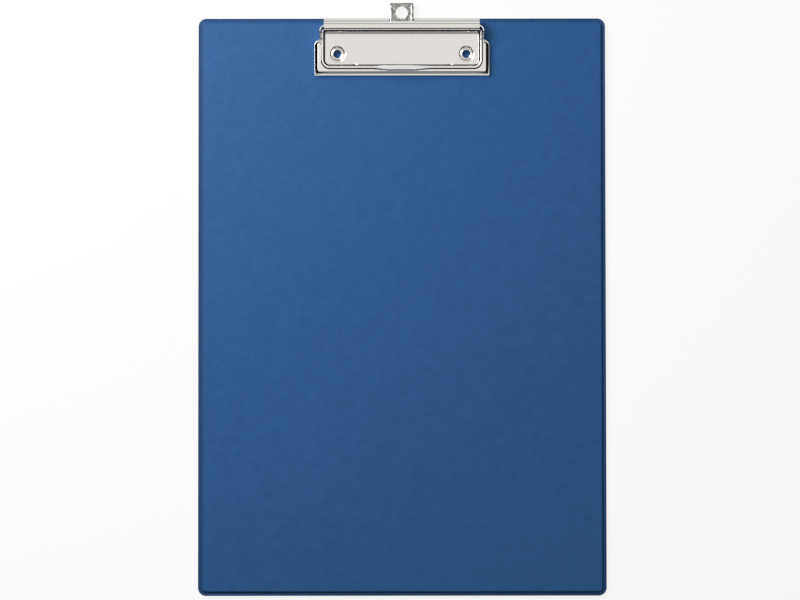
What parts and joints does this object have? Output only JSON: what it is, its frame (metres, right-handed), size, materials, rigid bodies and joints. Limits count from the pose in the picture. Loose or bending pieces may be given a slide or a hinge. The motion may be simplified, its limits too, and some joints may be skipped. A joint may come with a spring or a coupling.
{
  "type": "clipboard",
  "caption": "Flat foil-covered writing board with a sprung sheet-steel clip across its top edge and a pull-out hanging eye.",
  "frame": {"origin": "middle of the board's flat back face", "axes": "+Z out of the front, where the paper lies; +Y along the board towards the clip; +X to the right, seen from the front"},
  "size_m": [0.228, 0.3318, 0.0108],
  "materials": {
    "greyboard": "pressed greyboard, matte",
    "front_foil": "fine-grained PVC foil",
    "back_foil": "fine-grained PVC foil",
    "plate": "bright nickel plate",
    "rivets": "bright nickel plate",
    "jaw": "bright nickel plate",
    "springs": "drawn spring wire",
    "hanger": "bright nickel plate"
  },
  "bodies": {
    "board": {"core_board": "greyboard", "front_foil": "front_foil", "back_foil": "back_foil", "base_plate": "plate", "left_rivet": "rivets", "right_rivet": "rivets", "left_spring": "springs", "right_spring": "springs"},
    "jaw": {"jaw": "jaw"},
    "hanger": {"hanger": "hanger"}
  },
  "joints": [
    {"name": "jaw_hinge", "type": "hinge", "parent": "board", "child": "jaw", "pos_m": [0, 0.1566, 0.0068], "axis": [-1, 0, 0], "range_deg": [0, 45], "stiffness_Nm_per_rad": 0.218, "springref_deg": -60.16, "deforming": ["left_spring", "right_spring"]},
    {"name": "hanger_slide", "type": "slide", "parent": "board", "child": "hanger", "axis": [0, -1, 0], "range_m": [0, 0.0078]}
  ]
}
